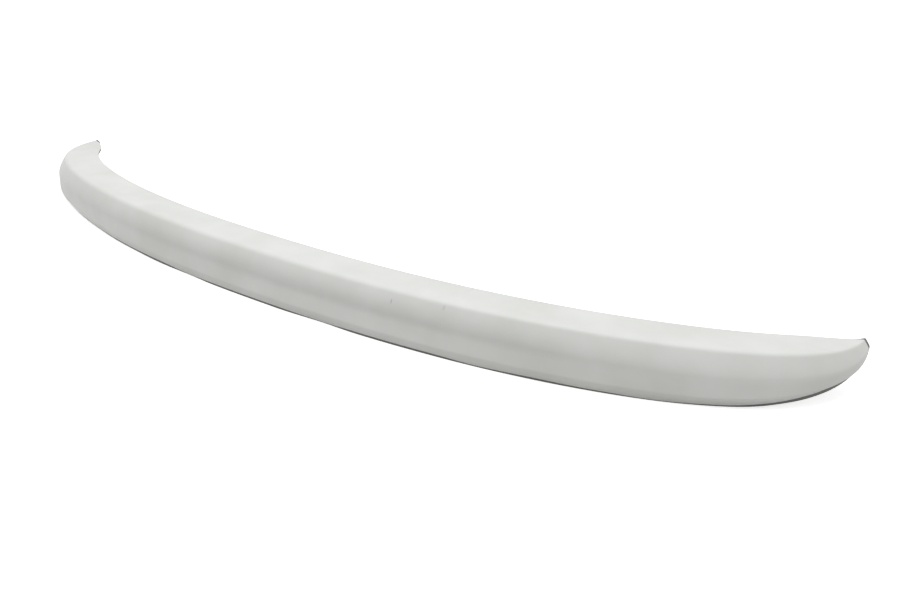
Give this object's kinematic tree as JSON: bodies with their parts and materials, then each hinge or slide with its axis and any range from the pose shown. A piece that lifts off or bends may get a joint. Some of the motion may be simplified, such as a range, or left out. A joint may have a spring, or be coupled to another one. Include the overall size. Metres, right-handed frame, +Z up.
{
  "type": "rear spoiler",
  "caption": "Thin moulded lip spoiler for the rear edge of a car's boot lid: a level top skin and a creased rear wall that wrap forward to blunt tips.",
  "frame": {"origin": "middle of the outline seen from above, at the level of the lower rim", "axes": "+X along the spoiler, -Y towards the rear of the car (the convex wall faces -Y), +Z up"},
  "size_m": [1.2172, 0.2111, 0.0578],
  "materials": {
    "gelcoat": "unpainted light grey gelcoat, satin, slightly uneven"
  },
  "bodies": {
    "root": {"spoiler_shell": "gelcoat"}
  },
  "joints": []
}
